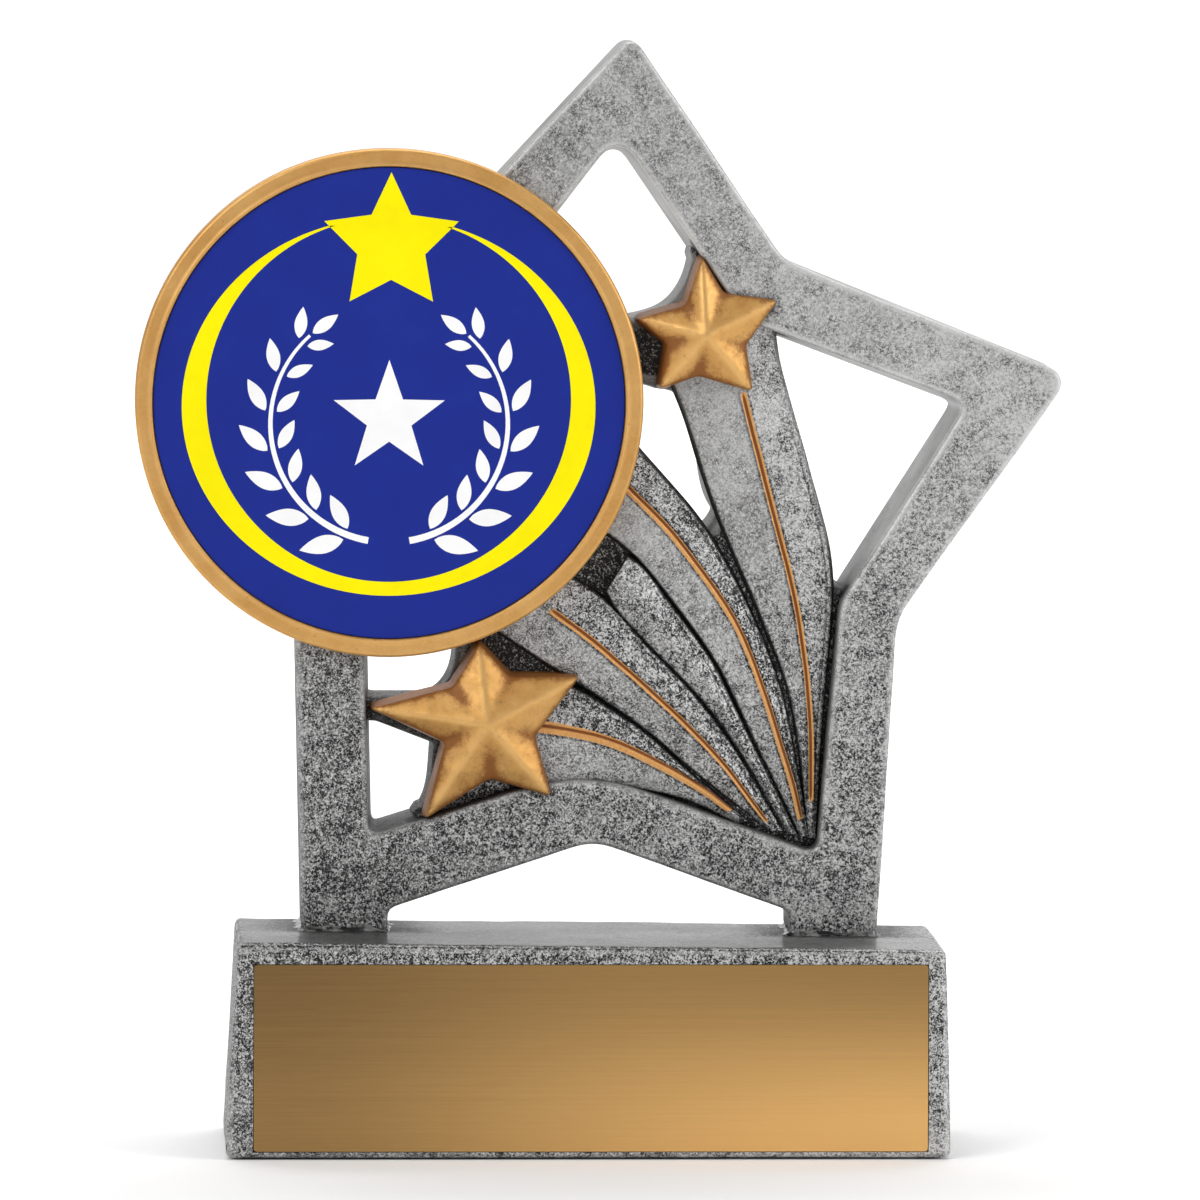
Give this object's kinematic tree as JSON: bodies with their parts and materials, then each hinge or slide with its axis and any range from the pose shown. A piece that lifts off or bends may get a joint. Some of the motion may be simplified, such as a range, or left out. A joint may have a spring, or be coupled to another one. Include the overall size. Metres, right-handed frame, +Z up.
{
  "type": "star trophy",
  "caption": "Resin award with an open star frame, shooting stars and a round printed medallion, on a block plinth with a blank engraving plate.",
  "frame": {"origin": "middle of the plinth's underside, on the surface that the trophy stands on", "axes": "+Z up, +X to the right seen from the front, +Y to the back; the printed medallion and the plate face -Y"},
  "size_m": [0.0988, 0.0284, 0.1176],
  "materials": {
    "antique_silver": "antique silver paint with a black wash rubbed into a fine stipple, over cast polyresin",
    "antique_gold": "antique gold paint with a brown wash in the hollows, over cast polyresin",
    "brushed_gold_plate": "gold anodised, horizontally brushed, satin",
    "printed_film": "smooth printed film, blue with yellow and white",
    "backing_plastic": "plain white styrene",
    "adhesive_tape": "white double-sided foam tape",
    "felt": "black self-adhesive felt",
    "pin_steel": "plain drawn steel wire",
    "epoxy_glue": "set epoxy painted over in silver with a black wash, glossy"
  },
  "bodies": {
    "root": {"plinth": "antique_silver", "felt_pad": "felt", "engraving_plate": "brushed_gold_plate", "plate_tape": "adhesive_tape", "left_foot_pin": "pin_steel", "right_foot_pin": "pin_steel", "left_foot_glue": "epoxy_glue", "right_foot_glue": "epoxy_glue", "star_frame": "antique_silver", "trail_web": "antique_silver", "trail_1": "antique_silver", "trail_2": "antique_silver", "trail_3": "antique_silver", "trail_4": "antique_silver", "trail_5": "antique_silver", "upper_star": "antique_gold", "lower_star": "antique_gold", "medallion_holder": "antique_gold", "centre_tape": "adhesive_tape", "centre_disc": "backing_plastic", "centre_print": "printed_film"}
  },
  "joints": []
}
